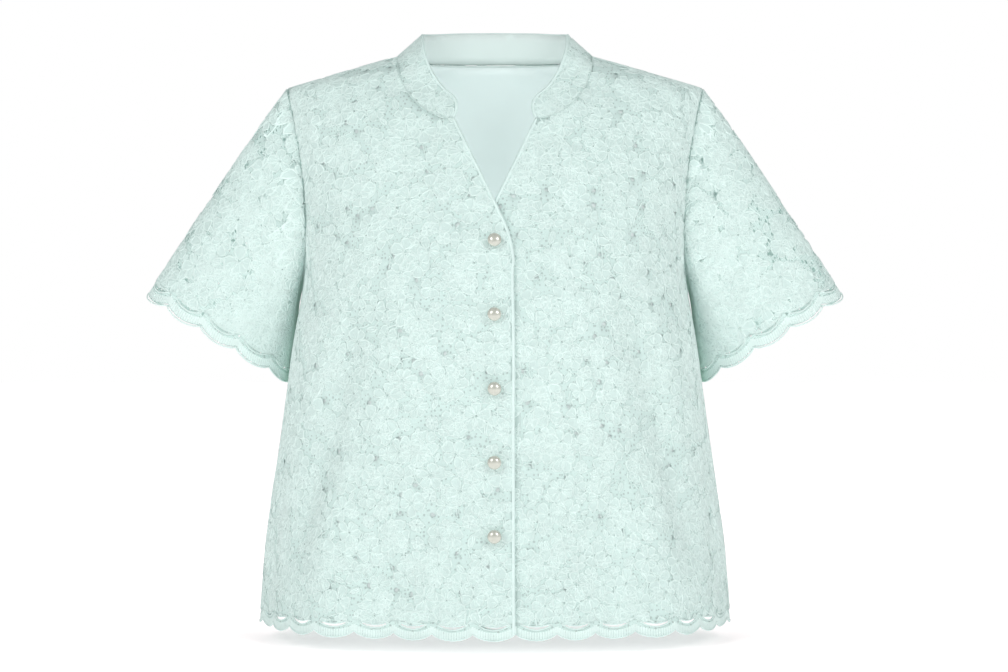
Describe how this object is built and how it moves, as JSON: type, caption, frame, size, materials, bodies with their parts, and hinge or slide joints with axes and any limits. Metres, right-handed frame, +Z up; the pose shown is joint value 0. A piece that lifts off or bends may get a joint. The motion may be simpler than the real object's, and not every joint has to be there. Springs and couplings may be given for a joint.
{
  "type": "lace shirt",
  "caption": "Short-sleeved lace shirt, filled out as if worn: stand collar, V neck, buttoned front, plain lining, see-through sleeves and scalloped borders.",
  "frame": {"origin": "middle of the neck, level with where the collar meets the shoulder seams, where the wearer's neck and shoulders hold the shirt up", "axes": "+Z up, -Y out of the front, +X to the wearer's left"},
  "size_m": [0.7264, 0.3315, 0.6265],
  "materials": {
    "lace": "pale mint corded lace",
    "lining": "plain pale mint lining, soft sheen",
    "pearl": "pearl"
  },
  "bodies": {
    "root": {"lace_front_right": "lace", "lace_front_left": "lace", "lace_back": "lace", "border_front_right": "lace", "border_front_left": "lace", "border_back": "lace", "lining_front_right": "lining", "lining_front_left": "lining", "lining_back": "lining", "collar_lace": "lace", "collar_band": "lining", "sleeve_right_front": "lace", "sleeve_right_back": "lace", "sleeve_left_front": "lace", "sleeve_left_back": "lace", "button_1": "pearl", "button_2": "pearl", "button_3": "pearl", "button_4": "pearl", "button_5": "pearl"}
  },
  "joints": []
}
